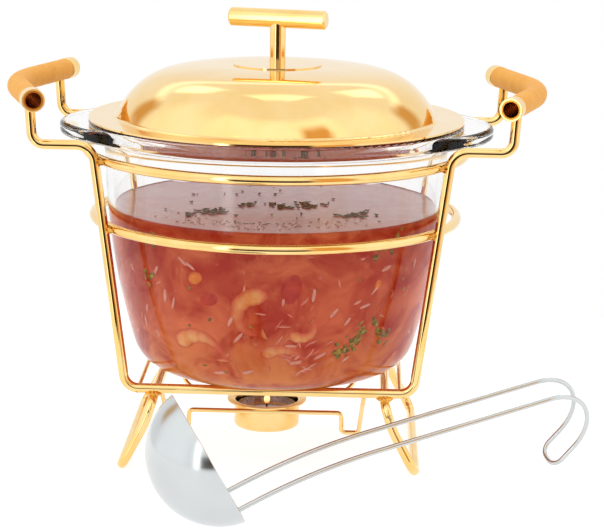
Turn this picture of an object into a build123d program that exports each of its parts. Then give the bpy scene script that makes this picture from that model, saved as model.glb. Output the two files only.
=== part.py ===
from build123d import *
from math import cos, hypot, radians, sin, tan
import os

# A glass soup tureen in a bent-wire stand with a tealight warmer, its domed lid and its ladle.
# Millimetres. The origin is on the table under the middle of the whole set. +X is to the right
# of somebody facing the set, +Y is away from them and +Z is up.

# Where the stand's upright axis is. The ladle lies in front, so the stand is behind the middle.
stand_x = -15.8
stand_y = 43.2

# Wire stock
main_wire = 6.2
thin_wire = 3.0
weld_bite = 0.35

# Front and back frames, each one bent wire
frame_depth = 66.4
rail_z = 53.3
rail_half_length = 91.7
shoulder_half_width = 112.0
arm_half_width = 149.5
arm_drop = 9.6
rail_bend = 9.5
shoulder_bend = 11.5
arm_bend = 8.0

# Side handles: a bent tube, a grip sleeve over it and a ferrule at each open end. Their place
# comes from the frames' arms, which they stand on.
handle_rise = 29.6
handle_inset = 3.5
handle_overhang = 16.9
handle_bulge = 26.0
handle_bend = 95.0
tube_outer = 12.2
tube_wall = 1.15
grip_wall = 0.9
ferrule_wall = 1.2
ferrule_length = 9.0

# Rings round the bowl, welded to the inner side of the frames
upper_ring_drop = 10.1
ring_spacing = 43.2

# Leg loops under the rails. They are a little longer than the gap between the frames.
leg_top_x = 73.8
leg_knee_x = 78.8
leg_foot_x = 94.1
leg_knee_drop = 16.0
leg_overhang = 5.5
leg_splay = 3.0
leg_bend = 9.0
knee_bend = 60.0
foot_flat = 0.25

# Thin bars between the two rails
side_bar_x = 83.5

# Warmer: two thin wires that carry a flanged cup
carrier_x = -4.2
carrier_z = 27.2
carrier_half_gap = 23.5
front_run_half_length = 50.3
back_run_half_length = 56.0
dip_depth = 13.2
dip_length = 11.4
dip_bend = 3.0
riser_bend = 16.0
riser_top_x = 65.0
cup_opening = 20.9
cup_wall = 0.8
cup_height = 18.2
cup_flange = 26.4
cup_fillet = 3.0
cup_lip_round = 1.2

# Tealight
candle_diameter = 38.0
candle_height = 13.6
foil = 0.4
wax_depth = 11.0
wick_diameter = 1.3
wick_stand = 4.2
tab_diameter = 12.0
tab_thickness = 0.4

# Gap under every piece that is lifted away
seat_gap = 0.3

# Glass bowl, outside sizes. Belly and neck stand at shares of its height.
bowl_foot = 76.5
foot_ring_width = 8.0
foot_recess = 1.0
bowl_floor = 6.0
bowl_wall = 4.6
bowl_haunch = 92.8
haunch_height = 16.5
bowl_belly = 104.3
belly_share = 0.4
bowl_neck = 111.0
neck_share = 0.84
lip_radius = 122.0
lip_land = 5.5
lip_thickness = 7.2
rim_height = 162.2
rim_round = 1.6
ear_reach = 141.0
ear_breadth = 100.0
ear_thickness = 8.4
ear_drop = 2.0
ear_round = 2.9

# Lid
lid_wall = 1.1
dome_foot = 104.6
dome_height = 33.4
crown_radius = 60.8
crown_drop = 1.7
crown_slope = 3.9
brow_radius = 76.7
brow_drop = 5.3
brow_slope = 21.5
shoulder_radius = 90.5
shoulder_drop = 13.8
shoulder_slope = 43.3
foot_slope = 64.3
dome_fillet = 2.5
pad_radius = 28.8
pad_height = 0.8
stem_diameter = 10.3
stem_height = 23.2
crossbar_diameter = 12.0
crossbar_length = 65.0
crossbar_turn = -15.0
crossbar_chamfer = 1.2
screw_diameter = 4.0
screw_bite = 12.0
screw_head = 7.6
screw_head_height = 2.6
washer_diameter = 14.0
washer_thickness = 1.2

# Ladle: how its bowl faces, where it lies and its sizes
ladle_x = -30.7
ladle_y = -170.0
ladle_heading = 13.95
ladle_tilt = 28.85
ladle_roll = -61.8
ladle_rim = 43.6
ladle_depth = 36.7
ladle_sheet = 1.0
ladle_wire = 3.1
ladle_wire_spacing = 17.5
handle_start_lean = 3.8
handle_start = 51.2
handle_lean = 20.3
handle_length = 233.1
bow_bend = 300.0
hook_bend = 30.0
hook_turn = 133.6
hook_length = 88.0
tip_bend = 7.4
weld_length = 1.8


# Planes and heights that the sub-parts share
def level(z):
    """Horizontal plane at a height, centred on the stand's axis."""
    return Plane((stand_x, stand_y, z))


def across(y):
    """Upright plane that faces the front at a depth from the stand's axis, with local y up."""
    return Plane((stand_x, stand_y + y, 0), x_dir=(1, 0, 0), z_dir=(0, -1, 0))


def end_plane(route):
    """Plane square to the start of a route, for the section that is swept along it."""
    return Plane(route @ 0, z_dir=route % 0)


stand_axis = Axis((stand_x, stand_y, 0), (0, 0, 1))
bowl_z = rail_z + main_wire / 2 + seat_gap
rim_z = bowl_z + rim_height
lid_z = rim_z + seat_gap
arm_z = rim_z - arm_drop
handle_z = arm_z + handle_rise
upper_ring_z = arm_z - upper_ring_drop
lower_ring_z = upper_ring_z - ring_spacing
grip_radius = tube_outer / 2 + grip_wall


def keep(piece, name):
    """Label a finished piece and write it."""
    piece.label = name
    export_step(piece, f"parts/{name}.step")


os.makedirs("parts", exist_ok=True)


# Side handles. The same route carries the tube, the grip and the solid that the frames are cut by.
handle_end_x = arm_half_width - handle_inset
handle_end_y = frame_depth + handle_overhang
handle_corner_x = handle_end_x + handle_bulge
handle_leg = Vector(handle_corner_x - handle_end_x, -handle_end_y).normalized()


def handle_corners(side, inset):
    """The three corners of a handle's route, with both ends drawn in by an inset."""
    end = Vector(handle_end_x, handle_end_y) + handle_leg * inset
    return [(side * end.X, -end.Y), (side * handle_corner_x, 0), (side * end.X, end.Y)]


handle_cores = []
for side, side_name in ((-1, "left"), (1, "right")):
    with BuildPart() as handle_core:
        with BuildLine(level(handle_z)) as route:
            FilletPolyline(*handle_corners(side, 0), radius=handle_bend)
        with BuildSketch(end_plane(route.line)):
            Circle(tube_outer / 2)
        sweep(path=route.line)
    handle_cores.append(handle_core.part)

    with BuildPart() as handle_tube:
        with BuildLine(level(handle_z)) as route:
            FilletPolyline(*handle_corners(side, 0), radius=handle_bend)
        with BuildSketch(end_plane(route.line)):
            Circle(tube_outer / 2)
            Circle(tube_outer / 2 - tube_wall, mode=Mode.SUBTRACT)
        sweep(path=route.line)
    keep(handle_tube.part, f"{side_name}_handle_tube")

    for end, end_name in ((0, "front"), (1, "back")):
        with BuildPart() as ferrule:
            with BuildSketch(Plane(route.line @ end, z_dir=(route.line % end) * (1 - 2 * end))):
                Circle(tube_outer / 2 + ferrule_wall)
                Circle(tube_outer / 2, mode=Mode.SUBTRACT)
            extrude(amount=ferrule_length)
            rims = ferrule.edges().filter_by(GeomType.CIRCLE).group_by(SortBy.RADIUS)[-1]
            fillet(rims, ferrule_wall / 3)
        keep(ferrule.part, f"{end_name}_{side_name}_ferrule")


# Front and back frames: rail, sloping sides, arms and uprights in one wire
slope = (shoulder_half_width - rail_half_length) / (arm_z - rail_z)


def slope_x(z):
    """Half the frame's width at a height, on the wire's centre line."""
    return rail_half_length + slope * (z - rail_z)


upright_x = handle_end_x + (handle_end_y - frame_depth) * handle_leg.X / -handle_leg.Y
half_frame = [
    (upright_x, handle_z - main_wire / 3),
    (arm_half_width, arm_z),
    (shoulder_half_width, arm_z),
    (rail_half_length, rail_z),
]
frame_corners = [(-x, z) for x, z in half_frame] + half_frame[::-1]
frame_bends = [arm_bend, shoulder_bend, rail_bend]
frame_wires = []
for frame_y, name in ((-frame_depth, "front_frame_wire"), (frame_depth, "back_frame_wire")):
    with BuildPart() as frame_wire:
        with BuildLine(across(frame_y)) as route:
            FilletPolyline(*frame_corners, radius=frame_bends + frame_bends[::-1])
        with BuildSketch(end_plane(route.line)):
            Circle(main_wire / 2)
        sweep(path=route.line)
        add(handle_cores, mode=Mode.SUBTRACT)
    frame_wires.append(frame_wire.part)
    keep(frame_wire.part, name)

# Grip sleeves run from ferrule to ferrule and have a hole where each upright passes
for side, name in ((-1, "left_grip"), (1, "right_grip")):
    with BuildPart() as grip:
        with BuildLine(level(handle_z)) as route:
            FilletPolyline(*handle_corners(side, ferrule_length), radius=handle_bend)
        with BuildSketch(end_plane(route.line)):
            Circle(grip_radius)
            Circle(tube_outer / 2, mode=Mode.SUBTRACT)
        sweep(path=route.line)
        add(frame_wires, mode=Mode.SUBTRACT)
    keep(grip.part, name)

# Rings, saddled where they are welded to the four sloping wires
for ring_z, name in ((upper_ring_z, "upper_ring"), (lower_ring_z, "lower_ring")):
    ring_radius = hypot(slope_x(ring_z), frame_depth) - main_wire + weld_bite
    with BuildPart() as ring:
        with BuildSketch(across(0)):
            with Locations((ring_radius, ring_z)):
                Circle(main_wire / 2)
        revolve(axis=stand_axis)
        add(frame_wires, mode=Mode.SUBTRACT)
    keep(ring.part, name)

# Leg loops: closed, splayed outwards below a slight knee and pressed flat where they stand
leg_top_z = rail_z - main_wire + weld_bite
leg_knee_z = leg_top_z - leg_knee_drop
leg_foot_z = main_wire / 2 - foot_flat
top_half_length = frame_depth + leg_overhang
foot_half_length = top_half_length + leg_splay
knee_half_length = top_half_length + leg_splay * leg_knee_drop / (leg_top_z - leg_foot_z)
leg_wires = []
for side, name in ((-1, "left_leg_loop"), (1, "right_leg_loop")):
    foot_corner = (side * leg_foot_x, foot_half_length, leg_foot_z)
    knee = (side * leg_knee_x, knee_half_length, leg_knee_z)
    top_corner = (side * leg_top_x, top_half_length, leg_top_z)
    back_leg = (foot_corner, knee, top_corner)
    front_leg = [(x, -y, z) for x, y, z in back_leg[::-1]]
    leg_bends = [leg_bend, knee_bend, leg_bend]
    with BuildPart() as leg_loop:
        with BuildLine(level(0)) as route:
            FilletPolyline(
                (side * leg_foot_x, 0, leg_foot_z), *back_leg, *front_leg, radius=[0] + leg_bends * 2, close=True
            )
        with BuildSketch(end_plane(route.line)):
            Circle(main_wire / 2)
        sweep(path=route.line)
        split(bisect_by=level(0), keep=Keep.TOP)
        add(frame_wires, mode=Mode.SUBTRACT)
    leg_wires.append(leg_loop.part)
    keep(leg_loop.part, name)

# Side bars join the two rails
for side, name in ((-1, "left_side_bar"), (1, "right_side_bar")):
    with BuildPart() as side_bar:
        with BuildSketch(across(0)):
            with Locations((side * side_bar_x, rail_z)):
                Circle(thin_wire / 2)
        extrude(amount=frame_depth, both=True)
        add(frame_wires, mode=Mode.SUBTRACT)
    keep(side_bar.part, name)

# Carrier wires: the front one dips at both ends before it climbs to the front rail
dip_z = carrier_z - dip_depth
half_front = [
    (riser_top_x, -frame_depth, rail_z),
    (front_run_half_length + dip_length, -carrier_half_gap, dip_z),
    (front_run_half_length, -carrier_half_gap, dip_z),
    (front_run_half_length, -carrier_half_gap, carrier_z),
]
half_back = [
    (riser_top_x, frame_depth, rail_z),
    (back_run_half_length, carrier_half_gap, carrier_z),
]
carriers = (
    ("front_carrier_wire", half_front, [dip_bend] * 3),
    ("back_carrier_wire", half_back, [riser_bend]),
)
for name, half, bends in carriers:
    with BuildPart() as carrier_wire:
        with BuildLine(level(0)) as route:
            left = [(carrier_x - x, y, z) for x, y, z in half]
            right = [(carrier_x + x, y, z) for x, y, z in half[::-1]]
            FilletPolyline(*left, *right, radius=bends + bends[::-1])
        with BuildSketch(end_plane(route.line)):
            Circle(thin_wire / 2)
        sweep(path=route.line)
        add(frame_wires, mode=Mode.SUBTRACT)
        add(leg_wires, mode=Mode.SUBTRACT)
    keep(carrier_wire.part, name)

# Burner cup hangs by its flange on the carrier wires
warmer_axis = Axis((stand_x + carrier_x, stand_y, 0), (0, 0, 1))
flange_z = carrier_z + thin_wire / 2 + seat_gap
cup_top_z = flange_z + cup_wall
cup_base_z = cup_top_z - cup_height
with BuildPart() as burner_cup:
    with BuildSketch(across(0)):
        with BuildLine():
            Polyline(
                (carrier_x, cup_base_z),
                (carrier_x + cup_opening + cup_wall, cup_base_z),
                (carrier_x + cup_opening + cup_wall, flange_z),
                (carrier_x + cup_flange, flange_z),
                (carrier_x + cup_flange, cup_top_z),
                (carrier_x + cup_opening, cup_top_z),
                (carrier_x + cup_opening, cup_base_z + cup_wall),
                (carrier_x, cup_base_z + cup_wall),
                close=True,
            )
        make_face()
    revolve(axis=warmer_axis)
    bottom_edge = burner_cup.faces().sort_by(Axis.Z)[0].edges()
    fillet(bottom_edge, cup_fillet)
    mouth_edge = burner_cup.faces().sort_by(Axis.Z)[-1].edges().sort_by(SortBy.RADIUS)[0]
    fillet(mouth_edge, cup_lip_round)
keep(burner_cup.part, "burner_cup")

# Tealight: foil shell, wax, wick and the tab that holds the wick upright
candle_z = cup_base_z + cup_wall + seat_gap
with BuildPart() as tealight_shell:
    with BuildSketch(level(candle_z)):
        with Locations((carrier_x, 0)):
            Circle(candle_diameter / 2)
    extrude(amount=candle_height)
    candle_top = tealight_shell.faces().sort_by(Axis.Z)[-1]
    offset(amount=-foil, openings=candle_top)
keep(tealight_shell.part, "tealight_shell")

wax_z = candle_z + foil
with BuildPart() as wick_tab:
    with BuildSketch(level(wax_z)):
        with Locations((carrier_x, 0)):
            Circle(tab_diameter / 2)
    extrude(amount=tab_thickness)
keep(wick_tab.part, "wick_tab")

with BuildPart() as wick:
    with BuildSketch(level(wax_z + tab_thickness)):
        with Locations((carrier_x, 0)):
            Circle(wick_diameter / 2)
    extrude(amount=wax_depth - tab_thickness + wick_stand)
keep(wick.part, "wick")

with BuildPart() as tealight_wax:
    with BuildSketch(level(wax_z)):
        with Locations((carrier_x, 0)):
            Circle(candle_diameter / 2 - foil)
    extrude(amount=wax_depth)
    add(wick_tab.part, mode=Mode.SUBTRACT)
    add(wick.part, mode=Mode.SUBTRACT)
keep(tealight_wax.part, "tealight_wax")

# Glass bowl: a turned wall with a flared lip, and an ear of the same glass at each side
inner_floor_z = bowl_z + bowl_floor
haunch_z = bowl_z + haunch_height
belly_z = bowl_z + rim_height * belly_share
neck_z = bowl_z + rim_height * neck_share
lip_z = rim_z - lip_thickness
inner_lip = lip_radius - lip_land
with BuildPart() as ears:
    with BuildSketch(level(rim_z - ear_drop - ear_thickness)):
        Ellipse(ear_reach, ear_breadth)
    extrude(amount=ear_thickness)
    fillet(ears.edges(), ear_round)
    with BuildSketch(level(bowl_z)):
        Circle(lip_radius - lip_land / 2)
    extrude(amount=rim_height, mode=Mode.SUBTRACT)

with BuildPart() as glass_bowl:
    with BuildSketch(across(0)):
        with BuildLine():
            foot = Polyline(
                (0, inner_floor_z),
                (0, bowl_z + foot_recess),
                (bowl_foot - foot_ring_width, bowl_z + foot_recess),
                (bowl_foot - foot_ring_width, bowl_z),
                (bowl_foot, bowl_z),
            )
            wall = ThreePointArc((bowl_haunch, haunch_z), (bowl_belly, belly_z), (bowl_neck, neck_z))
            TangentArc(wall @ 0, foot @ 1, tangent=-(wall % 0))
            lip = Spline(wall @ 1, (lip_radius, lip_z), tangents=(wall % 1, (1, 0.6)))
            land = Polyline(lip @ 1, (lip_radius, rim_z), (inner_lip, rim_z))
            inner_wall = ThreePointArc(
                (bowl_haunch - bowl_wall, haunch_z + bowl_wall / 2),
                (bowl_belly - bowl_wall, belly_z),
                (bowl_neck - bowl_wall, neck_z + bowl_wall / 2),
            )
            Spline(inner_wall @ 1, land @ 1, tangents=(inner_wall % 1, (0.75, 1)))
            inner_haunch = TangentArc(
                inner_wall @ 0,
                (bowl_foot - bowl_wall / 2, inner_floor_z),
                tangent=-(inner_wall % 0),
            )
            Line(inner_haunch @ 1, foot @ 0)
        make_face()
    revolve(axis=stand_axis)
    rim_edges = glass_bowl.faces().sort_by(Axis.Z)[-1].edges()
    fillet(rim_edges, rim_round)
    add(ears.part)
keep(glass_bowl.part, "glass_bowl")

# Lid: one pressed sheet. Its lower face repeats the dome's line one sheet thickness below.
lid_top_z = lid_z + lid_wall
dome_z = lid_top_z + dome_height
stem_z = dome_z + pad_height
screw_hole = screw_diameter / 2
dome_stations = (
    (pad_radius, 0, 0),
    (crown_radius, crown_drop, crown_slope),
    (brow_radius, brow_drop, brow_slope),
    (shoulder_radius, shoulder_drop, shoulder_slope),
    (dome_foot, dome_height, foot_slope),
)


def dome_points(inset):
    """Points of the dome's line, each moved square to the sheet by an inset."""
    points = []
    for radius, drop, fall in dome_stations:
        slant = radians(fall)
        points.append((radius - inset * sin(slant), dome_z - drop - inset * cos(slant)))
    return points


foot_angle = radians(foot_slope)
dome_ends = ((1, 0), (cos(foot_angle), -sin(foot_angle)))
with BuildPart() as lid_shell:
    with BuildSketch(across(0)) as sheet:
        with BuildLine():
            upper_face = Spline(*dome_points(0), tangents=dome_ends)
            lower_points = dome_points(lid_wall)
            lower_foot = dome_foot - lid_wall * tan(foot_angle / 2)
            lower_points[-1] = (lower_foot, lid_z)
            lower_face = Spline(*lower_points, tangents=dome_ends)
            Polyline(upper_face @ 1, (lip_radius, lid_top_z), (lip_radius, lid_z), lower_face @ 1)
            Polyline(
                upper_face @ 0,
                (pad_radius, stem_z),
                (screw_hole, stem_z),
                (screw_hole, stem_z - lid_wall),
                (pad_radius - lid_wall, stem_z - lid_wall),
                lower_face @ 0,
            )
        make_face()
        flange_corner = sheet.vertices().filter_by_position(Axis.X, dome_foot - 0.01, dome_foot + 0.01)
        fillet(flange_corner, dome_fillet)
    revolve(axis=stand_axis)
keep(lid_shell.part, "lid_shell")

# Stem, crossbar, and the screw and washer that hold them to the lid from below
crossbar_z = stem_z + stem_height + crossbar_diameter / 2
with BuildPart() as lid_crossbar:
    along_bar = Vector(1, 0, 0).rotate(Axis.Z, crossbar_turn)
    with BuildSketch(Plane((stand_x, stand_y, crossbar_z), z_dir=along_bar)):
        Circle(crossbar_diameter / 2)
    extrude(amount=crossbar_length / 2, both=True)
    chamfer(lid_crossbar.edges().filter_by(GeomType.CIRCLE), crossbar_chamfer)
keep(lid_crossbar.part, "lid_crossbar")

with BuildPart() as lid_stem:
    with BuildSketch(level(stem_z)):
        Circle(stem_diameter / 2)
    extrude(amount=stem_height + crossbar_diameter / 2)
    with BuildSketch(level(stem_z)):
        Circle(screw_hole)
    extrude(amount=screw_bite, mode=Mode.SUBTRACT)
    add(lid_crossbar.part, mode=Mode.SUBTRACT)
keep(lid_stem.part, "lid_stem")

washer_z = stem_z - lid_wall - washer_thickness
with BuildPart() as lid_washer:
    with BuildSketch(level(washer_z)):
        Circle(washer_diameter / 2)
        Circle(screw_hole, mode=Mode.SUBTRACT)
    extrude(amount=washer_thickness)
keep(lid_washer.part, "lid_washer")

with BuildPart() as lid_screw:
    with BuildSketch(level(washer_z)):
        Circle(screw_hole)
    extrude(amount=washer_thickness + lid_wall + screw_bite)
    with BuildSketch(level(washer_z - screw_head_height)):
        Circle(screw_head / 2)
    extrude(amount=screw_head_height)
    fillet(lid_screw.edges().group_by(Axis.Z)[0], screw_head_height / 3)
keep(lid_screw.part, "lid_screw")

# Ladle. Its rim's plane faces along the direction that its opening faces; it rests on its side.
ladle_radius = (ladle_rim ** 2 + ladle_depth ** 2) / (2 * ladle_depth)
centre_above_rim = ladle_radius - ladle_depth
facing = Vector(1, 0, 0).rotate(Axis.Y, -ladle_tilt).rotate(Axis.Z, ladle_heading)
sideways = Vector(0, 1, 0).rotate(Axis.Z, ladle_heading)
towards_handle = sideways.rotate(Axis((0, 0, 0), facing), ladle_roll)
ladle_z = ladle_radius - centre_above_rim * facing.Z
rim_plane = Plane(
    (stand_x + ladle_x, stand_y + ladle_y, ladle_z), x_dir=towards_handle, z_dir=facing
)
ladle_axis = Axis(rim_plane.origin, facing)
mirror_plane = Plane(rim_plane.origin, x_dir=towards_handle, z_dir=-rim_plane.y_dir)
with BuildPart() as ladle_bowl:
    with BuildSketch(mirror_plane):
        with BuildLine():
            outer = TangentArc((0, -ladle_depth), (ladle_rim, 0), tangent=(1, 0))
            offset(outer, amount=ladle_sheet, side=Side.LEFT)
        make_face()
    revolve(axis=ladle_axis)
keep(ladle_bowl.part, "ladle_bowl")

with BuildPart() as ladle_blank:
    with BuildSketch(mirror_plane):
        with BuildLine():
            cap = TangentArc((0, -ladle_depth), (ladle_rim, 0), tangent=(1, 0))
            Polyline(cap @ 1, (0, 0), cap @ 0)
        make_face()
    revolve(axis=ladle_axis)

# The handle is one wire bent double, with its two ends welded to the outside of the rim. It leaves
# the rim almost upright, bows outwards and ends in a hook.
start_lean = radians(handle_start_lean)
lean = radians(handle_lean)
back = radians(handle_lean + hook_turn)
weld_x = ladle_rim + ladle_wire / 2 - weld_bite
wire_start = Vector(weld_x - weld_length * sin(start_lean), -weld_length * cos(start_lean))
bow_corner = Vector(weld_x + handle_start * sin(start_lean), handle_start * cos(start_lean))
hook_corner = bow_corner + Vector(sin(lean), cos(lean)) * handle_length
wire_tip = hook_corner + Vector(sin(back), cos(back)) * hook_length
half_route = (wire_start, bow_corner, hook_corner, wire_tip)
half_handle = [(corner.X, ladle_wire_spacing / 2, corner.Y) for corner in half_route]
other_half = [(x, -y, z) for x, y, z in half_handle]
with BuildPart() as ladle_handle:
    with BuildLine(rim_plane) as route:
        handle_bends = [bow_bend, hook_bend, tip_bend]
        FilletPolyline(*half_handle, *other_half[::-1], radius=handle_bends + handle_bends[::-1])
    with BuildSketch(end_plane(route.line)):
        Circle(ladle_wire / 2)
    sweep(path=route.line)
    add(ladle_blank.part, mode=Mode.SUBTRACT)
keep(ladle_handle.part, "ladle_handle")
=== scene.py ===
import math
import random

import bpy
from mathutils import Matrix, Vector


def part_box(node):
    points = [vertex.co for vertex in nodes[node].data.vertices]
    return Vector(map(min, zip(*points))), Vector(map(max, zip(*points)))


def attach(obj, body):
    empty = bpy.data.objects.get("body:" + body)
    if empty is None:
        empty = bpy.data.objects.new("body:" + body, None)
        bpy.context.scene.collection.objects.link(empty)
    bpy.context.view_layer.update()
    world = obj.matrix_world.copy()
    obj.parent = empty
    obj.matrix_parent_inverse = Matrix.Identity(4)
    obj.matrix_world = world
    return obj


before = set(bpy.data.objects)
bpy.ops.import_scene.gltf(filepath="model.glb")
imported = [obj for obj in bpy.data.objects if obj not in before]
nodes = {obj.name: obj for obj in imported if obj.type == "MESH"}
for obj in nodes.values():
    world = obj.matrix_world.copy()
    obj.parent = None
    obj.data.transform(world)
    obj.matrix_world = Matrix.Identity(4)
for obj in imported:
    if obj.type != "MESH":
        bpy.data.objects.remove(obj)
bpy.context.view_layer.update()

# Camera. It stands in front of the set and a little above it, turned slightly to its left, with a
# long lens, as for a picture of tableware. It aims beside the stand's upright axis, which is read
# from the two leg loops, because they stand evenly on either side of it.
left_foot, right_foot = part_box("left_leg_loop"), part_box("right_leg_loop")
stand_x = (left_foot[0][0] + right_foot[1][0]) / 2
stand_y = (left_foot[0][1] + left_foot[1][1]) / 2
camera_turn = math.radians(2.3457)
camera_lift = math.radians(11.3627)
camera_roll = math.radians(0.9093)
camera_distance = 1.4003
aim_height = 0.1456
aim_right = 0.017875
aim_down = 0.023885
photo_width = 604
focal_pixels = 2126.9

backward = Vector((
    math.sin(camera_turn) * math.cos(camera_lift),
    -math.cos(camera_turn) * math.cos(camera_lift),
    math.sin(camera_lift),
))
rightward = Vector((math.cos(camera_turn), math.sin(camera_turn), 0))
upward = backward.cross(rightward)
middle = Vector((stand_x, stand_y, aim_height))
eye = middle + backward * camera_distance
aim = middle + rightward * aim_right - upward * aim_down
camera_data = bpy.data.cameras.new("camera")
camera_data.sensor_width = 36
camera_data.lens = focal_pixels * camera_data.sensor_width / photo_width
camera = bpy.data.objects.new("camera", camera_data)
bpy.context.collection.objects.link(camera)
looking = (aim - eye).to_track_quat("-Z", "Y").to_matrix().to_4x4()
camera.matrix_world = Matrix.Translation(eye) @ looking @ Matrix.Rotation(camera_roll, 4, "Z")
bpy.context.scene.camera = camera
bpy.context.scene.view_settings.view_transform = "Standard"


# Studio. The object stands on a round sheet of white paper in a white room. Soft panels, each given
# by the bearings and heights that it spans, light it, and a dark one gives metal and glass something
# to mirror. Bearing 0 is the camera's side and 90 is to its right.
def fill(tree, node, *values, **sockets):
    """Fill a node's inputs, by place or by name, with values or with other nodes' outputs."""
    pairs = list(zip(node.inputs, values))
    pairs += [(node.inputs[name.replace("_", " ")], value) for name, value in sockets.items()]
    for socket, value in pairs:
        if isinstance(value, bpy.types.NodeSocket):
            tree.links.new(value, socket)
        else:
            socket.default_value = value
    return node


def wire_up(tree, kind, *values, **sockets):
    """Add a node and fill its inputs."""
    return fill(tree, tree.nodes.new(kind), *values, **sockets)


def reckon(tree, operation, *values):
    """A math node's output."""
    node = wire_up(tree, "ShaderNodeMath", *values)
    node.operation = operation
    return node.outputs[0]


def ramp(tree, value, low, high, to_low=0.0, to_high=1.0):
    """Follow a value smoothly from one level to another."""
    node = wire_up(
        tree, "ShaderNodeMapRange", Value=value, From_Min=low, From_Max=high, To_Min=to_low, To_Max=to_high
    )
    node.interpolation_type = "SMOOTHSTEP"
    return node.outputs["Result"]


def blend_colours(tree, amount, first, second):
    """The colour between two, by an amount."""
    mix = tree.nodes.new("ShaderNodeMix")
    mix.data_type = "RGBA"
    fill(tree, mix, Factor=amount, A=first, B=second)
    return mix.outputs["Result"]


def within(tree, value, low, high, softness, least, most):
    """1 where a value lies between two levels and 0 outside, with no edge at the range's own ends."""
    inside = 1.0
    if low > least:
        inside = ramp(tree, value, low - softness, low + softness)
    if high < most:
        fall = ramp(tree, value, high - softness, high + softness, 1.0, 0.0)
        inside = reckon(tree, "MULTIPLY", inside, fall)
    return inside


white, warm = (1.0, 1.0, 1.0), (1.0, 0.62, 0.28)
room_shade = (0.97, 0.97, 0.97, 1)
room_panels = (
    # bearings, heights, softness, light, tint, and whether its mirror image hangs opposite
    (-180, 180, 30, 90, 20, 1.02, (1.0, 0.99, 0.97), False),
    (44, 112, -12, 58, 12, 1.20, white, True),
    (-62, 62, 36, 62, 6, 1.32, (1.0, 0.98, 0.92), False),
    (-25, 25, -60, 7, 4, 0.05, (1.0, 0.62, 0.35), False),
    (25, 50, -42, 52, 5, 0.82, (1.0, 0.56, 0.20), False),
    (-34, -27, -42, 42, 2.5, 3.0, white, False),
    (128, 180, 31, 37, 2.5, 1.4, white, True),
    (140, 158, 40, 54, 4, 1.8, white, True),
    (150, 180, 68, 80, 4, 1.6, white, True),
    (118, 134, 14, 34, 5, 0.72, warm, True),
)
world = bpy.data.worlds.new("studio")
world.use_nodes = True
bpy.context.scene.world = world
tree = world.node_tree
tree.nodes.clear()
direction = wire_up(tree, "ShaderNodeSeparateXYZ", tree.nodes.new("ShaderNodeTexCoord").outputs["Generated"])
to_camera = reckon(tree, "MULTIPLY", direction.outputs["Y"], -1.0)
bearing = reckon(tree, "ARCTAN2", direction.outputs["X"], to_camera)
bearing = reckon(tree, "MULTIPLY", bearing, 180 / math.pi)
height = reckon(tree, "MULTIPLY", reckon(tree, "ARCSINE", direction.outputs["Z"]), 180 / math.pi)
shade = room_shade
for first_bearing, last_bearing, low, high, softness, light, tint, mirrored in room_panels:
    spans = [(first_bearing, last_bearing)]
    if mirrored:
        spans.append((-last_bearing, -first_bearing))
    for start, end in spans:
        sides = within(tree, bearing, start, end, softness, -180, 180)
        levels = within(tree, height, low, high, softness, -90, 90)
        mask = reckon(tree, "MULTIPLY", sides, levels)
        shade = blend_colours(tree, mask, shade, [channel * light for channel in tint] + [1])
lit = wire_up(tree, "ShaderNodeBackground", Color=shade, Strength=1.0)
plain = wire_up(tree, "ShaderNodeBackground", Color=(1, 1, 1, 1), Strength=1.0)
seen = tree.nodes.new("ShaderNodeLightPath").outputs["Is Camera Ray"]
both = wire_up(tree, "ShaderNodeMixShader", seen)
for place_in_mix, background in ((1, lit), (2, plain)):
    tree.links.new(background.outputs[0], both.inputs[place_in_mix])
tree.links.new(both.outputs[0], tree.nodes.new("ShaderNodeOutputWorld").inputs["Surface"])

sweep_material = bpy.data.materials.new("sweep_paper")
sweep_material.use_nodes = True
paper = sweep_material.node_tree.nodes["Principled BSDF"]
paper.inputs["Base Color"].default_value = (0.28, 0.28, 0.28, 1)
paper.inputs["Roughness"].default_value = 0.8
paper.inputs["Emission Color"].default_value = (1, 1, 1, 1)
paper.inputs["Emission Strength"].default_value = 0.84
floor_reach, floor_sides = 0.45, 96
floor_rim = [2 * math.pi * k / floor_sides for k in range(floor_sides)]
floor_mesh = bpy.data.meshes.new("floor")
floor_mesh.from_pydata(
    [(stand_x + floor_reach * math.cos(a), stand_y + floor_reach * math.sin(a), 0) for a in floor_rim],
    [], [tuple(range(floor_sides))],
)
floor = bpy.data.objects.new("floor", floor_mesh)
bpy.context.collection.objects.link(floor)
floor.data.materials.append(sweep_material)


# Stand. Two bent-wire frames, two rings, two splayed leg loops and the thin warmer wires, all of
# round steel wire, welded where they cross and then plated in bright gold as one piece.
def clad(material, *names):
    """Give CAD nodes a material."""
    for name in names:
        for slot in nodes[name].material_slots:
            slot.material = material


def new_material(name, **values):
    """A material of one Principled shader with its constants set on its own sockets."""
    material = bpy.data.materials.new(name)
    material.use_nodes = True
    shader = material.node_tree.nodes["Principled BSDF"]
    for key, value in values.items():
        shader.inputs[key.replace("_", " ")].default_value = value
    return material, material.node_tree, shader


def start_group(name, inputs, outputs):
    """An empty node group with named inputs and outputs, its given values and its end node."""
    group = bpy.data.node_groups.new(name, "ShaderNodeTree")
    for socket_name, kind, value in inputs:
        socket = group.interface.new_socket(socket_name, in_out="INPUT", socket_type="NodeSocket" + kind)
        socket.default_value = value
    for socket_name, kind in outputs:
        group.interface.new_socket(socket_name, in_out="OUTPUT", socket_type="NodeSocket" + kind)
    return group, group.nodes.new("NodeGroupInput").outputs, group.nodes.new("NodeGroupOutput")


def place_group(tree, group, **values):
    """Place a node group in a material with that material's values."""
    node = tree.nodes.new("ShaderNodeGroup")
    node.node_tree = group
    return fill(tree, node, **values).outputs


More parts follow.
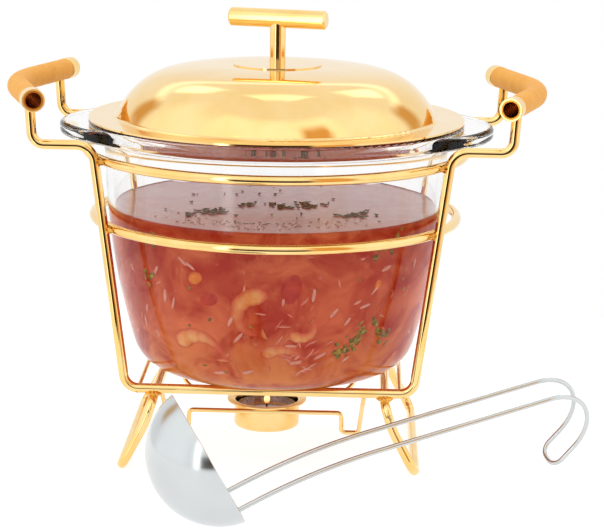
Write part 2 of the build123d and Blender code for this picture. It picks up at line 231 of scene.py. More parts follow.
def speckle(tree, scale, detail, roughness, distortion=0.0, place=None):
    """A noise that stays with the piece, from 0 to 1."""
    place = place or tree.nodes.new("ShaderNodeTexCoord").outputs["Object"]
    noise = wire_up(
        tree, "ShaderNodeTexNoise", Vector=place, Scale=scale, Detail=detail, Roughness=roughness,
        Distortion=distortion,
    )
    return noise.outputs["Fac"]


def emboss(tree, shader, height, strength, distance):
    """Let a height map raise and lower a surface."""
    bump = wire_up(tree, "ShaderNodeBump", Height=height, Strength=strength, Distance=distance)
    fill(tree, shader, Normal=bump.outputs["Normal"])


plating, given, result = start_group(
    "gold_plating",
    (("Bright", "Color", (0.96, 0.70, 0.31, 1)), ("Deep", "Color", (0.93, 0.62, 0.22, 1)),
     ("Smooth", "Float", 0.05), ("Rough", "Float", 0.12), ("Grain", "Float", 220.0)),
    (("Color", "Color"), ("Roughness", "Float"), ("Height", "Float")),
)
clouds = speckle(plating, 38.0, 3.0, 0.55)
fine = speckle(plating, given["Grain"], 5.0, 0.6)
fill(
    plating, result,
    Color=blend_colours(plating, ramp(plating, clouds, 0.35, 0.7), given["Bright"], given["Deep"]),
    Roughness=ramp(plating, fine, 0.3, 0.75, given["Smooth"], given["Rough"]),
    Height=reckon(plating, "ADD", clouds, reckon(plating, "MULTIPLY", fine, 0.15)),
)


def gold_finish(name, relief=0.05, **values):
    """A gold-plated metal with its own polish."""
    material, tree, shader = new_material(name, Metallic=1.0)
    plate = place_group(tree, plating, **values)
    fill(tree, shader, Base_Color=plate["Color"], Roughness=plate["Roughness"])
    emboss(tree, shader, plate["Height"], relief, 0.0004)
    return material


gold_wire = gold_finish("gold_wire", relief=0.06, Smooth=0.04, Rough=0.10)
clad(
    gold_wire, "front_frame_wire", "back_frame_wire", "upper_ring", "lower_ring", "left_leg_loop",
    "right_leg_loop", "left_side_bar", "right_side_bar", "front_carrier_wire", "back_carrier_wire",
)


# Welds. Each crossing has a small lumpy bead, run along the joint and plated over with the wire.
# A bead is longest along the ring or rail that it holds and has the ripples of a short weld.
def new_mesh(name, points, faces):
    """A mesh of points and faces."""
    mesh = bpy.data.meshes.new(name)
    mesh.from_pydata(points, [], faces)
    return mesh


def quad_bands(rings, sides):
    """The four-sided faces between rings of points that follow each other."""
    return [
        (i * sides + k, i * sides + (k + 1) % sides, (i + 1) * sides + (k + 1) % sides, (i + 1) * sides + k)
        for i in range(rings - 1) for k in range(sides)
    ]


def add_piece(name, mesh, material, body, smooth=True):
    """Put a finished mesh in the scene as a piece that moves with a body."""
    for polygon in mesh.polygons:
        polygon.use_smooth = smooth
    piece = bpy.data.objects.new(name, mesh)
    bpy.context.collection.objects.link(piece)
    if material:
        mesh.materials.append(material)
    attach(piece, body)
    return piece


weld_gold = gold_finish(
    "gold_weld", relief=0.5, Smooth=0.16, Rough=0.34, Grain=700.0,
    Bright=(0.86, 0.48, 0.11, 1), Deep=(0.62, 0.27, 0.05, 1),
)
weld_noise = random.Random(5)
weld_steps, weld_sides = 28, 18
ripple_depth, ripple_rate = 0.10, 15
lump_size, fine_lump_size = 0.07, 0.05


def weld_bead(name, place, along, out, size):
    """A bead centred on a place, with its length along the joint, its breadth and its thickness."""
    length, breadth, thickness = size
    along, out = Vector(along).normalized(), Vector(out).normalized()
    across = out.cross(along).normalized()
    points = []
    phase = weld_noise.uniform(0, 6)
    for i in range(weld_steps + 1):
        t = -1 + 2 * i / weld_steps
        swell = math.sqrt(max(0.0, 1 - t * t))
        ripple = 1 + ripple_depth * math.cos(t * ripple_rate + phase) * swell
        for k in range(weld_sides):
            a = 2 * math.pi * k / weld_sides
            lump = 1 + lump_size * math.sin(3 * a + phase) + fine_lump_size * math.sin(5 * a + 4 * t)
            points.append(
                Vector(place) + along * (t * length)
                + across * (math.cos(a) * breadth * swell * ripple * lump)
                + out * (math.sin(a) * thickness * swell * ripple * lump)
            )
    mesh = new_mesh(name, points, quad_bands(weld_steps + 1, weld_sides))
    mesh.validate()
    add_piece(name, mesh, weld_gold, "stand")


wire_radius = 0.0031
upper_ring_z = (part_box("upper_ring")[0][2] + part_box("upper_ring")[1][2]) / 2
lower_ring_z = (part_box("lower_ring")[0][2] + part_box("lower_ring")[1][2]) / 2
rail_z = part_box("front_frame_wire")[0][2] + wire_radius
frame_y = (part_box("back_frame_wire")[1][1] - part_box("front_frame_wire")[0][1]) / 2 - wire_radius
arm_above_ring = 0.0101
arm_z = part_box("upper_ring")[0][2] + wire_radius + arm_above_ring
rail_half, shoulder_half = 0.0917, 0.1120
leg_top_x, side_bar_x = 0.0738, 0.0835
warmer_x, riser_x = -0.0042, 0.0648
ring_weld, leg_weld = (0.0068, 0.0026, 0.0024), (0.0056, 0.0046, 0.0022)
bar_weld, riser_weld = (0.0027, 0.0023, 0.0016), (0.0029, 0.0023, 0.0015)
bar_inset, riser_inset, riser_drop = 0.0026, 0.0024, 0.0016
corners = [
    (side, end, ("l" if side < 0 else "r") + ("f" if end < 0 else "b")) for side in (-1, 1) for end in (-1, 1)
]
for ring_z, ring_name in ((upper_ring_z, "upper"), (lower_ring_z, "lower")):
    wire_x = rail_half + (shoulder_half - rail_half) * (ring_z - rail_z) / (arm_z - rail_z)
    reach_out = math.hypot(wire_x, frame_y)
    for side, end, corner in corners:
        outward = Vector((side * wire_x, end * frame_y, 0)) / reach_out
        tangent = Vector((-outward.y, outward.x, 0))
        spot = Vector((stand_x, stand_y, ring_z)) + outward * (reach_out - wire_radius)
        weld_bead(f"weld_{ring_name}_{corner}", spot, tangent, outward, ring_weld)
for side, end, corner in corners:
    leg = (stand_x + side * leg_top_x, stand_y + end * frame_y, rail_z - wire_radius)
    weld_bead(f"weld_leg_{corner}", leg, (1, 0, 0), (0, 0, 1), leg_weld)
    bar = (stand_x + side * side_bar_x, stand_y + end * (frame_y - bar_inset), rail_z)
    weld_bead(f"weld_bar_{corner}", bar, (1, 0, 0), (0, 1, 0), bar_weld)
    riser_y = stand_y + end * (frame_y - riser_inset)
    riser = (stand_x + warmer_x + side * riser_x, riser_y, rail_z - riser_drop)
    weld_bead(f"weld_riser_{corner}", riser, (1, 0, 0), (0, 1, -0.5), riser_weld)

# Side handles. A bent tube sits on the two uprights of each side; a heat-proof sleeve in matt gold
# covers it, and a bright ferrule closes the sleeve at each open end.
gold_fitting = gold_finish("gold_fitting", relief=0.05, Smooth=0.05, Rough=0.13)
tube_gold = gold_finish(
    "gold_tube", relief=0.1, Smooth=0.2, Rough=0.35, Bright=(0.80, 0.36, 0.06, 1), Deep=(0.62, 0.24, 0.03, 1)
)
clad(tube_gold, "left_handle_tube", "right_handle_tube")
clad(gold_fitting, "front_left_ferrule", "back_left_ferrule", "front_right_ferrule", "back_right_ferrule")
grip_sleeve, tree, shader = new_material("grip_sleeve", Metallic=0.0, Specular_IOR_Level=0.25)
grain = speckle(tree, 1500.0, 4.0, 0.7)
patches = speckle(tree, 120.0, 4.0, 0.6)
tone = blend_colours(tree, ramp(tree, patches, 0.3, 0.7), (0.84, 0.40, 0.055, 1), (0.76, 0.33, 0.035, 1))
tone = blend_colours(tree, ramp(tree, grain, 0.35, 0.75), tone, (0.93, 0.50, 0.12, 1))
fill(tree, shader, Base_Color=tone, Roughness=ramp(tree, grain, 0.3, 0.7, 0.5, 0.7))
emboss(tree, shader, grain, 0.35, 0.0003)
clad(grip_sleeve, "left_grip", "right_grip")

# Bowl. Pressed clear glass with a turned foot, a flared lip and an ear at each side to lift it by.
# The pressing leaves faint waves in its faces.
clear_glass, tree, shader = new_material(
    "clear_glass", Base_Color=(1.0, 1.0, 1.0, 1), Metallic=0.0, Transmission_Weight=1.0, IOR=1.3
)
waves = speckle(tree, 24.0, 2.0, 0.5)
fill(tree, shader, Roughness=ramp(tree, waves, 0.35, 0.7, 0.0, 0.02))
emboss(tree, shader, waves, 0.12, 0.0006)
clad(clear_glass, "glass_bowl")

# Soup. A red broth fills the bowl to about two thirds. It wets the glass, so its skin lies a little
# way into the wall and no layer of air shows; its top has a film of fat and a raised edge.
bowl_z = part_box("glass_bowl")[0][2]
soup_z = 0.1635
wetting = 0.0016
wall_stations = [(radius, bowl_z + rise) for radius, rise in (
    # the wall's inner radius, and the height above the bowl's foot
    (0.0742, 0.0060), (0.0806, 0.0079), (0.0855, 0.0128), (0.0882, 0.0188), (0.0927, 0.0345),
    (0.0967, 0.0495), (0.0997, 0.0649), (0.1023, 0.0830), (0.1043, 0.1010), (0.1056, 0.1200),
    (0.1064, 0.1385),
)]


def wall_radius(z):
    """Inner radius of the bowl's wall at a height."""
    for (r0, z0), (r1, z1) in zip(wall_stations, wall_stations[1:]):
        if z <= z1:
            return r0 + (r1 - r0) * max(0.0, (z - z0)) / (z1 - z0)
    return wall_stations[-1][0]


def ringed(profile, turns):
    """Points turned about the stand's axis from a profile of radius and height."""
    points = []
    for r, z in profile:
        for k in range(turns):
            a = 2 * math.pi * k / turns
            points.append((stand_x + r * math.cos(a), stand_y + r * math.sin(a), z))
    return points


def both_high(tree, first, first_span, second, second_span):
    """The product of two ramps, which is high only where both are."""
    return reckon(tree, "MULTIPLY", ramp(tree, first, *first_span), ramp(tree, second, *second_span))


broth, tree, shader = new_material("broth", Roughness=0.5, Specular_IOR_Level=0.0)
swirl = speckle(tree, 26.0, 5.0, 0.62, 1.2)
specks = speckle(tree, 150.0, 4.0, 0.65)
depths = speckle(tree, 11.0, 3.0, 0.5, 0.6)
place = tree.nodes.new("ShaderNodeTexCoord").outputs["Object"]
height_in_bowl = wire_up(tree, "ShaderNodeSeparateXYZ", Vector=place).outputs["Z"]
tone = blend_colours(tree, ramp(tree, swirl, 0.30, 0.72), (0.50, 0.026, 0.012, 1), (0.86, 0.21, 0.085, 1))
tone = blend_colours(tree, ramp(tree, depths, 0.50, 0.78), tone, (0.40, 0.020, 0.010, 1))
low_part = both_high(tree, height_in_bowl, (0.058, 0.105, 1.0, 0.0), swirl, (0.35, 0.65))
tone = blend_colours(tree, low_part, tone, (0.86, 0.30, 0.09, 1))
some_specks = reckon(tree, "MULTIPLY", ramp(tree, specks, 0.60, 0.78), 0.55)
tone = blend_colours(tree, some_specks, tone, (0.95, 0.42, 0.20, 1))
fill(tree, shader, Base_Color=tone)
emboss(tree, shader, swirl, 0.1, 0.002)

broth_top, tree, shader = new_material("broth_surface", IOR=1.33, Coat_Weight=0.2, Coat_Roughness=0.08)
fat = speckle(tree, 34.0, 4.0, 0.6, 0.8)
bubbles = speckle(tree, 420.0, 3.0, 0.6)
tone = blend_colours(tree, ramp(tree, fat, 0.35, 0.7), (0.74, 0.17, 0.16, 1), (0.82, 0.28, 0.26, 1))
frothy = both_high(tree, bubbles, (0.55, 0.75), fat, (0.48, 0.62))
tone = blend_colours(tree, frothy, tone, (0.82, 0.52, 0.47, 1))
fill(tree, shader, Base_Color=tone, Roughness=ramp(tree, bubbles, 0.3, 0.7, 0.10, 0.26))
emboss(tree, shader, bubbles, 0.12, 0.0006)

soup_turns, soup_steps, edge_steps = 192, 120, 12
edge_rise, edge_step, edge_fall = 0.0006, 0.0004, 2.2
axis_radius, floor_radius, floor_rise = 0.0001, 0.04, 0.0057
soup_radius = wall_radius(soup_z)
skin_low, skin_high = wall_stations[0][1] - wetting, soup_z + edge_rise
soup_profile = [(axis_radius, bowl_z + floor_rise), (floor_radius, bowl_z + floor_rise)]
for k in range(soup_steps + 1):
    z = skin_low + (skin_high - skin_low) * k / soup_steps
    soup_profile.append((wall_radius(z) + wetting, z))
skin_faces = (len(soup_profile) - 1) * soup_turns
for k in range(1, edge_steps):
    edge_z = soup_z + edge_rise * math.exp(-k / edge_fall)
    soup_profile.append((soup_radius + wetting - edge_step * k, edge_z))
soup_profile += [(soup_radius * share, soup_z) for share in (0.9, 0.75, 0.5, 0.25, 0.001)]
soup_mesh = new_mesh("soup", ringed(soup_profile, soup_turns), quad_bands(len(soup_profile), soup_turns))
soup_mesh.materials.append(broth)
soup_mesh.materials.append(broth_top)
for index, polygon in enumerate(soup_mesh.polygons):
    polygon.material_index = 1 if index >= skin_faces else 0
add_piece("soup", soup_mesh, None, "bowl")


# What is in the soup. Prawns, rice, tomato, carrot and herbs lie against the glass, where they show
# best, and sink into the broth behind; a value painted on each mesh says how far each point stands
# out, and the food's colour fades into the broth's where it doesn't.
def at_wall(bearing, z, sink):
    """The point on the soup's skin at a bearing from the front, and the directions along and up the wall."""
    a = math.radians(bearing)
    probe = 0.002
    out = Vector((math.sin(a), -math.cos(a), 0))
    grade = (wall_radius(z + probe) - wall_radius(z - probe)) / (2 * probe)
    up = (Vector((0, 0, 1)) + out * grade).normalized()
    along = Vector((math.cos(a), math.sin(a), 0))
    return Vector((stand_x, stand_y, z)) + out * (wall_radius(z) + wetting - sink), along, up


def on_skin(spot, sink):
    """Move a spot outwards or inwards until it lies at a depth below the soup's skin."""
    out = Vector((spot.x - stand_x, spot.y - stand_y, 0))
    return spot + out.normalized() * (wall_radius(spot.z) + wetting - sink - out.length)


def paint_depth(mesh, rind):
    """Store on each point how far it stands out of the broth, from 0 to 1 over a rind."""
    layer = mesh.attributes.new("standing_out", "FLOAT", "POINT")
    for vertex in mesh.vertices:
        p = vertex.co
        proud = math.hypot(p.x - stand_x, p.y - stand_y) - wall_radius(p.z) - wetting
        layer.data[vertex.index].value = max(0.0, min(1.0, proud / rind))


broth_haze = (0.74, 0.10, 0.042, 1)


def morsel_finish(name, first, second, scale, murk):
    """A food's colour, which fades into the broth where the piece lies deeper."""
    material, tree, shader = new_material(name, Roughness=0.4, IOR=1.36)
    mottle = speckle(tree, scale, 4.0, 0.6)
    tone = blend_colours(tree, ramp(tree, mottle, 0.35, 0.68), first, second)
    proud = tree.nodes.new("ShaderNodeAttribute")
    proud.attribute_name = "standing_out"
    clear = reckon(tree, "MULTIPLY", ramp(tree, proud.outputs["Fac"], 0.0, 1.0), 1.0 - murk)
    fill(tree, shader, Base_Color=blend_colours(tree, clear, broth_haze, tone))
    emboss(tree, shader, mottle, 0.2, 0.0006)
    return material


prawn_flesh = morsel_finish("prawn_flesh", (1.0, 0.50, 0.19, 1), (0.95, 0.33, 0.08, 1), 190.0, 0.05)
rice_grain = morsel_finish("rice_grain", (0.96, 0.60, 0.48, 1), (0.86, 0.44, 0.32, 1), 500.0, 0.32)
herb_leaf = morsel_finish("herb_leaf", (0.10, 0.085, 0.012, 1), (0.50, 0.40, 0.05, 1), 420.0, 0.04)
tomato_flesh = morsel_finish("tomato_flesh", (0.50, 0.016, 0.006, 1), (0.66, 0.045, 0.012, 1), 150.0, 0.1)
carrot_flesh = morsel_finish("carrot_flesh", (1.0, 0.34, 0.04, 1), (0.9, 0.22, 0.02, 1), 400.0, 0.1)


def tube_mesh(name, line, girths, sides, flatten):
    """A closed tube along a line of points, with a girth at each, flattened towards the wall."""
    points = []
    for k, centre in enumerate(line):
        ahead = (line[min(k + 1, len(line) - 1)] - line[max(k - 1, 0)]).normalized()
        radius_out = Vector((centre.x - stand_x, centre.y - stand_y, 0)).normalized()
        across = ahead.cross(radius_out).normalized()
        deep = across.cross(ahead).normalized()
        for j in range(sides):
            a = 2 * math.pi * j / sides
            width, depth = math.cos(a) * girths[k], math.sin(a) * girths[k] * flatten
            points.append(centre + across * width + deep * depth)
    first_ring, last_ring = range(sides), range((len(line) - 1) * sides, len(line) * sides)
    faces = quad_bands(len(line), sides) + [tuple(reversed(first_ring)), tuple(last_ring)]
    return new_mesh(name, points, faces)


prawn_steps, prawn_sides, prawn_segments = 64, 14, 6.5
curl_tightening, ring_relief, tail_start = 0.16, 0.07, 0.93


def prawn(name, bearing, z, curl, start, sweep, girth, sink):
    """A peeled, curled prawn pressed against the glass: rings along its back and a fanned tail."""
    centre, along, up = at_wall(bearing, z, sink)
    line, girths = [], []
    for k in range(prawn_steps + 1):
        t = k / prawn_steps
        a = math.radians(start + sweep * t)
        radius = curl * (1.0 - curl_tightening * t)
        spot = centre + along * (math.cos(a) * radius) + up * (math.sin(a) * radius)
        line.append(on_skin(spot, sink))
        ring = 0.96 + ring_relief * abs(math.sin(t * prawn_segments * math.pi))
        if t < tail_start:
            taper = (1 - 0.62 * t ** 1.6) * min(1.0, 0.35 + 5 * t)
        else:
            taper = 0.38 + 7 * (t - tail_start)
        girths.append(girth * taper * ring)
    mesh = tube_mesh(name, line, girths, prawn_sides, 0.55)
    paint_depth(mesh, 0.0019)
    add_piece(name, mesh, prawn_flesh, "bowl")


# bearing, height, curl, first angle and sweep of the curl, girth and depth
prawn("prawn_middle", -3.5, 0.1110, 0.0140, 55, 235, 0.0074, 0.0021)
prawn("prawn_left", -27.0, 0.0790, 0.0178, 165, -165, 0.0076, 0.0021)
prawn("prawn_right", 13.0, 0.1035, 0.0080, 200, 200, 0.0044, 0.0009)
prawn("prawn_low", 6.0, 0.0745, 0.0170, 150, -140, 0.0060, 0.0019)

food = random.Random(23)
sliver_steps, sliver_sides, sliver_tip = 12, 10, 0.18


def sliver(bearing, z, length, girth, tilt, sink, bow=0.0, flatten=0.7):
    """The mesh of a small tapered piece that lies against the glass at a tilt."""
    centre, along, up = at_wall(bearing, z, sink)
    lean = math.radians(tilt)
    ahead = along * math.cos(lean) + up * math.sin(lean)
    sidewise = along * -math.sin(lean) + up * math.cos(lean)
    line, girths = [], []
    for k in range(sliver_steps + 1):
        t = -1 + 2 * k / sliver_steps
        swell = 1 - t * t
        line.append(on_skin(centre + ahead * (t * length / 2) + sidewise * (bow * swell), sink))
        girths.append(max(girth * sliver_tip, girth * math.sqrt(max(0.0, swell))))
    return tube_mesh("sliver", line, girths, sliver_sides, flatten)


def gathered(name, meshes):
    """One mesh of many small ones of the same food."""
    points, faces = [], []
    for mesh in meshes:
        first = len(points)
        points += [vertex.co.copy() for vertex in mesh.vertices]
        faces += [[first + k for k in polygon.vertices] for polygon in mesh.polygons]
        bpy.data.meshes.remove(mesh)
    return new_mesh(name, points, faces)


def scatter(name, slivers, material):
    """Add many slivers of one food as one piece."""
    mesh = gathered(name, slivers)
    paint_depth(mesh, 0.0005)
    add_piece(name, mesh, material, "bowl")


placed_rice = (
    # bearing, height and tilt of the grains that show most
    (-40.0, 0.1170, 80), (-36.5, 0.1130, 70), (-30.5, 0.1420, -40), (-27.5, 0.1395, -35), (-43.0, 0.1330, 60),
    (29.8, 0.1050, 55), (33.0, 0.1170, 20), (36.5, 0.1140, 15), (24.0, 0.1115, 50), (5.5, 0.1205, 80),
    (16.0, 0.1240, 85), (-13.5, 0.1060, 65), (-11.0, 0.0950, 50), (20.5, 0.0830, 30), (11.0, 0.0790, 15),
    (14.5, 0.0735, 25), (-8.0, 0.0720, 20), (-20.0, 0.0700, 10), (40.0, 0.1240, 50), (-52.0, 0.1050, 70),
    (-55.0, 0.0950, 85), (-48.0, 0.0890, 100), (31.5, 0.0790, 35), (44.0, 0.1370, 20), (8.5, 0.0905, 0),
)
grains = [
    sliver(bearing_at, z_at, food.uniform(0.006, 0.010), food.uniform(0.0010, 0.0015), tilt, 0.0)
    for bearing_at, z_at, tilt in placed_rice
]
for _ in range(150):
    grains.append(sliver(
        food.uniform(-180, 180), food.uniform(0.066, 0.150), food.uniform(0.004, 0.009),
        food.uniform(0.0006, 0.0011), food.uniform(0, 180), food.uniform(0.0001, 0.0006),
    ))
for _ in range(34):
    grains.append(sliver(
        food.gauss(11, 6), food.gauss(0.090, 0.010), food.uniform(0.005, 0.012),
        food.uniform(0.0004, 0.0008), food.gauss(35, 30), food.uniform(0.0, 0.0003),
        bow=food.uniform(-0.001, 0.001),
    ))
scatter("rice", grains, rice_grain)

herb_clusters = (
    # bearing and height of a cluster's middle, and the pairs of leaves in it
    (39.7, 0.0998, 5), (31.3, 0.0859, 6), (49.4, 0.0903, 5), (36.0, 0.0925, 4), (-47.0, 0.1260, 3),
    (42.0, 0.1500, 4), (47.0, 0.1560, 3), (-44.0, 0.1540, 3),
)
herbs = []
for bearing_at, z_at, pairs in herb_clusters:
    for _ in range(2 * pairs):
        herbs.append(sliver(
            bearing_at + food.uniform(-4.2, 4.2), z_at + food.uniform(-0.0055, 0.0055),
            food.uniform(0.0025, 0.0065), food.uniform(0.0009, 0.0021), food.uniform(0, 180), 0.0002,
            bow=food.uniform(-0.001, 0.001),
        ))
for _ in range(60):
    herbs.append(sliver(
        food.uniform(-180, 180), food.uniform(0.066, 0.157), food.uniform(0.002, 0.004),
        food.uniform(0.0006, 0.0013), food.uniform(0, 180), food.uniform(0.0001, 0.0004),
    ))
scatter("herbs", herbs, herb_leaf)
# bearing, height, length, girth and tilt of each chunk
scatter("tomato", [
    sliver(bearing_at, z_at, length, girth, tilt, 0.0016, bow=0.002, flatten=0.5)
    for bearing_at, z_at, length, girth, tilt in (
        (9.2, 0.1280, 0.022, 0.0072, 80), (-21.0, 0.1180, 0.016, 0.0055, 20),
        (-58.0, 0.1220, 0.017, 0.0060, 60), (70.0, 0.1000, 0.018, 0.0060, 40),
        (140.0, 0.1200, 0.020, 0.0065, 30), (-120.0, 0.1000, 0.018, 0.0060, 70),
    )
], tomato_flesh)
scatter("carrot", [
    sliver(bearing_at, z_at, length, girth, tilt, 0.0008, flatten=0.5)
    for bearing_at, z_at, length, girth, tilt in (
        (-26.0, 0.1325, 0.011, 0.0046, 30), (41.0, 0.1270, 0.009, 0.0030, 70),
        (21.0, 0.1060, 0.016, 0.0019, 35), (26.0, 0.1120, 0.014, 0.0016, 40),
        (100.0, 0.1300, 0.011, 0.0040, 10), (-150.0, 0.0900, 0.012, 0.0040, 50),
    )
], carrot_flesh)

# Herbs and froth float on the soup. The dried leaves are curled flakes that drift together in
# trails, and the froth is a patch of small bubbles near the front.
dried_herb, tree, shader = new_material("dried_herb", Roughness=0.6)
mottle = ramp(tree, speckle(tree, 600.0, 3.0, 0.6), 0.35, 0.65)
fill(tree, shader, Base_Color=blend_colours(tree, mottle, (0.17, 0.14, 0.075, 1), (0.36, 0.29, 0.17, 1)))
froth_film, tree, shader = new_material("froth", Roughness=0.15, IOR=1.33, Transmission_Weight=0.0)
mottle = ramp(tree, speckle(tree, 300.0, 2.0, 0.5), 0.35, 0.65)
fill(tree, shader, Base_Color=blend_colours(tree, mottle, (0.66, 0.44, 0.40, 1), (0.80, 0.62, 0.58, 1)))
leaf_points, leaf_low, leaf_high, leaf_curl, leaf_breadth = 12, 0.00015, 0.00075, 0.0006, 0.42


def floating_leaf(x, y, size, turn):
    """The mesh of a curled flake of leaf that floats on the soup."""
    points = []
    jag = [food.uniform(0.55, 1.0) for _ in range(leaf_points)]
    for layer in (leaf_low, leaf_high):
        for k in range(leaf_points):
            a = 2 * math.pi * k / leaf_points
            px = math.cos(a) * size * jag[k]
            py = math.sin(a) * size * leaf_breadth * jag[k]
            points.append((
                stand_x + x + px * math.cos(turn) - py * math.sin(turn),
                stand_y + y + px * math.sin(turn) + py * math.cos(turn),
                soup_z + layer + leaf_curl * (px / size) ** 2,
            ))
    ends = [tuple(reversed(range(leaf_points))), tuple(range(leaf_points, 2 * leaf_points))]
    return new_mesh("leaf", points, ends + quad_bands(2, leaf_points))


herb_trails = (
    # places on the soup, from its middle, that each trail runs through
    ((-0.058, -0.060), (-0.047, -0.043), (-0.038, -0.031), (-0.030, -0.036), (-0.040, -0.052)),
    ((-0.023, -0.012), (-0.009, -0.010), (0.0035, -0.016), (0.0165, -0.017), (0.030, -0.009),
     (0.014, -0.006)),
    ((0.043, -0.041), (0.050, -0.046), (0.0555, -0.037), (0.069, -0.038)),
)
leaves = []
for trail in herb_trails:
    for (x0, y0), (x1, y1) in zip(trail, trail[1:]):
        for _ in range(9):
            t = food.random()
            leaves.append(floating_leaf(
                x0 + (x1 - x0) * t + food.gauss(0, 0.0024), y0 + (y1 - y0) * t + food.gauss(0, 0.0045),
                food.uniform(0.0009, 0.0030), food.uniform(-0.6, 0.6),
            ))
for _ in range(24):
    r, a = food.uniform(0.01, 0.095), food.uniform(0, 2 * math.pi)
    size, turn = food.uniform(0.0006, 0.0016), food.uniform(0, 3)
    leaves.append(floating_leaf(r * math.cos(a), r * math.sin(a), size, turn))
add_piece("floating_herbs", gathered("floating_herbs", leaves), dried_herb, "bowl", smooth=False)

bubble_rings, bubble_sides, bubble_height, bubble_sink = 4, 10, 0.7, 0.0001
froth_points, froth_faces = [], []
for _ in range(150):
    a = food.gauss(0, 0.42)
    r = food.uniform(0.070, 0.094)
    x, y = stand_x + r * math.sin(a), stand_y - r * math.cos(a)
    size = food.uniform(0.0004, 0.0012)
    first = len(froth_points)
    for i in range(bubble_rings):
        climb = i / bubble_rings * math.pi / 2
        for k in range(bubble_sides):
            b = 2 * math.pi * k / bubble_sides
            froth_points.append((
                x + math.cos(climb) * size * math.cos(b), y + math.cos(climb) * size * math.sin(b),
                soup_z - bubble_sink + math.sin(climb) * size * bubble_height,
            ))
    froth_points.append((x, y, soup_z - bubble_sink + size * bubble_height))
    froth_faces += [[first + k for k in face] for face in quad_bands(bubble_rings, bubble_sides)]
    last_ring = first + (bubble_rings - 1) * bubble_sides
    for k in range(bubble_sides):
        froth_faces.append((last_ring + k, last_ring + (k + 1) % bubble_sides, last_ring + bubble_sides))
add_piece("froth", new_mesh("froth", froth_points, froth_faces), froth_film, "bowl")

# Lid. A pressed dome of gold-plated sheet, polished more smoothly than the wire; its crossbar stands
# on a stem that is held from below by a steel screw and washer.
lid_gold = gold_finish(
    "lid_gold", relief=0.02, Smooth=0.03, Rough=0.075, Grain=160.0,
    Bright=(0.95, 0.69, 0.32, 1), Deep=(0.93, 0.64, 0.26, 1),
)
bar_gold = gold_finish("bar_gold", relief=0.05, Smooth=0.07, Rough=0.14, Grain=900.0)
clad(lid_gold, "lid_shell")
clad(bar_gold, "lid_crossbar", "lid_stem")
screw_steel, tree, shader = new_material("screw_steel", Metallic=1.0)
scuffs = speckle(tree, 700.0, 4.0, 0.6)
tone = blend_colours(tree, ramp(tree, scuffs, 0.3, 0.7), (0.62, 0.61, 0.59, 1), (0.48, 0.47, 0.45, 1))
fill(tree, shader, Base_Color=tone, Roughness=ramp(tree, scuffs, 0.3, 0.7, 0.2, 0.4))
clad(screw_steel, "lid_washer", "lid_screw", "wick_tab")

# Burner. A drawn cup with a flange hangs on the two warmer wires and holds a tealight: a foil shell
# with dark wax, a wick on a tin tab, and a small flame.
cup_gold = gold_finish("cup_gold", relief=0.03, Smooth=0.14, Rough=0.26, Grain=500.0)
clad(cup_gold, "burner_cup")
foil, tree, shader = new_material("tealight_foil", Metallic=1.0)
creases = speckle(tree, 260.0, 4.0, 0.6)
tone = blend_colours(tree, ramp(tree, creases, 0.3, 0.7), (0.80, 0.79, 0.80, 1), (0.62, 0.60, 0.63, 1))
fill(tree, shader, Base_Color=tone, Roughness=ramp(tree, creases, 0.3, 0.7, 0.15, 0.38))
emboss(tree, shader, creases, 0.5, 0.0005)
clad(foil, "tealight_shell")
wax, tree, shader = new_material(
    "tealight_wax", Roughness=0.16, IOR=1.44, Coat_Weight=0.5, Coat_Roughness=0.05
)
melt = ramp(tree, speckle(tree, 120.0, 3.0, 0.5), 0.35, 0.68)
fill(tree, shader, Base_Color=blend_colours(tree, melt, (0.16, 0.040, 0.024, 1), (0.30, 0.085, 0.045, 1)))
clad(wax, "tealight_wax")
burnt_cotton, tree, shader = new_material("burnt_cotton", Roughness=0.9)
char = speckle(tree, 1500.0, 3.0, 0.6)
tone = blend_colours(tree, ramp(tree, char, 0.35, 0.65), (0.012, 0.009, 0.008, 1), (0.06, 0.03, 0.02, 1))
fill(tree, shader, Base_Color=tone)
emboss(tree, shader, char, 0.8, 0.0002)
clad(burnt_cotton, "wick")

wick_low, wick_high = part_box("wick")
wick_x, wick_y, wick_top = (wick_low[0] + wick_high[0]) / 2, (wick_low[1] + wick_high[1]) / 2, wick_high[2]
flame_glow, tree, shader = new_material(
    "flame", Base_Color=(0.0, 0.0, 0.0, 1), Roughness=1.0, Emission_Strength=1.0
)
place = tree.nodes.new("ShaderNodeTexCoord").outputs["Object"]
rise = wire_up(tree, "ShaderNodeSeparateXYZ", Vector=place).outputs["Z"]
foot_glow, core_glow, tip_glow = (1.0, 0.30, 0.05, 1), (1.9, 1.1, 0.5, 1), (1.6, 0.62, 0.12, 1)
tone = blend_colours(tree, ramp(tree, rise, wick_top - 0.0025, wick_top + 0.0015), foot_glow, core_glow)
tone = blend_colours(tree, ramp(tree, rise, wick_top + 0.0022, wick_top + 0.0062), tone, tip_glow)
fill(tree, shader, Emission_Color=tone)
flame_rings, flame_sides, flame_height, flame_girth = 26, 24, 0.0088, 0.0021
flame_foot, flame_drift, tip_girth = 0.0024, 0.0006, 0.00003
flame_points = []
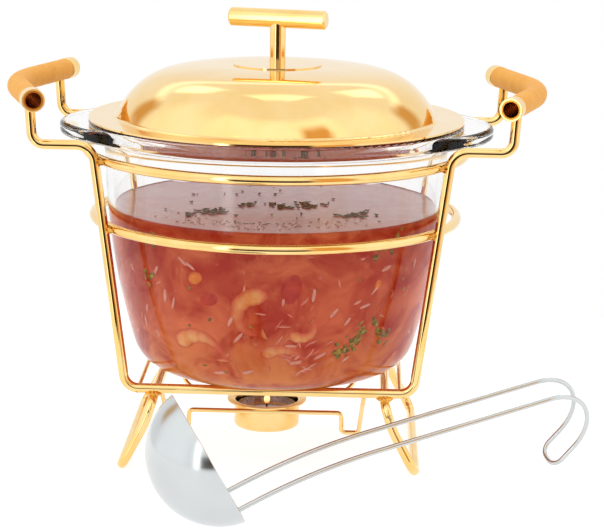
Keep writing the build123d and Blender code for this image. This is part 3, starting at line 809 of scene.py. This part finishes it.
for i in range(flame_rings + 1):
    t = i / flame_rings
    girth = flame_girth * math.sin(math.pi * min(1.0, t ** 0.62)) * (1 - 0.15 * t) + tip_girth
    for k in range(flame_sides):
        a = 2 * math.pi * k / flame_sides
        flame_points.append((
            wick_x + flame_drift * t * t + girth * math.cos(a) * (1 + 0.05 * math.sin(3 * a)),
            wick_y + girth * math.sin(a),
            wick_top - flame_foot + t * flame_height,
        ))
flame_mesh = new_mesh("flame", flame_points, quad_bands(flame_rings + 1, flame_sides))
add_piece("flame", flame_mesh, flame_glow, "tealight")

# Ladle. A deep spun bowl and a doubled wire handle of stainless steel, polished to a satin shine
# with fine hairs that all run one way.
brushing, given, result = start_group(
    "satin_brushing",
    (("Light", "Color", (0.63, 0.66, 0.67, 1)), ("Dark", "Color", (0.60, 0.63, 0.64, 1)),
     ("Smooth", "Float", 0.22), ("Rough", "Float", 0.34)),
    (("Color", "Color"), ("Roughness", "Float"), ("Height", "Float")),
)
place = brushing.nodes.new("ShaderNodeTexCoord").outputs["Object"]
stretched = wire_up(
    brushing, "ShaderNodeMapping", Vector=place, Scale=(1.0, 1.0, 9.0), Rotation=(0.5, 0.3, 0.2)
)
hairs = speckle(brushing, 260.0, 5.0, 0.7, place=stretched.outputs[0])
wide = speckle(brushing, 30.0, 3.0, 0.5)
fill(
    brushing, result,
    Color=blend_colours(brushing, ramp(brushing, wide, 0.3, 0.7), given["Light"], given["Dark"]),
    Roughness=ramp(brushing, hairs, 0.3, 0.7, given["Smooth"], given["Rough"]),
    Height=hairs,
)
for material_name, node_name, smooth, rough in (
    ("satin_steel_bowl", "ladle_bowl", 0.15, 0.20), ("satin_steel_wire", "ladle_handle", 0.16, 0.28),
):
    steel, tree, shader = new_material(material_name, Metallic=1.0)
    brush = place_group(tree, brushing, Smooth=smooth, Rough=rough)
    fill(tree, shader, Base_Color=brush["Color"], Roughness=brush["Roughness"])
    emboss(tree, shader, brush["Height"], 0.01, 0.0001)
    clad(steel, node_name)
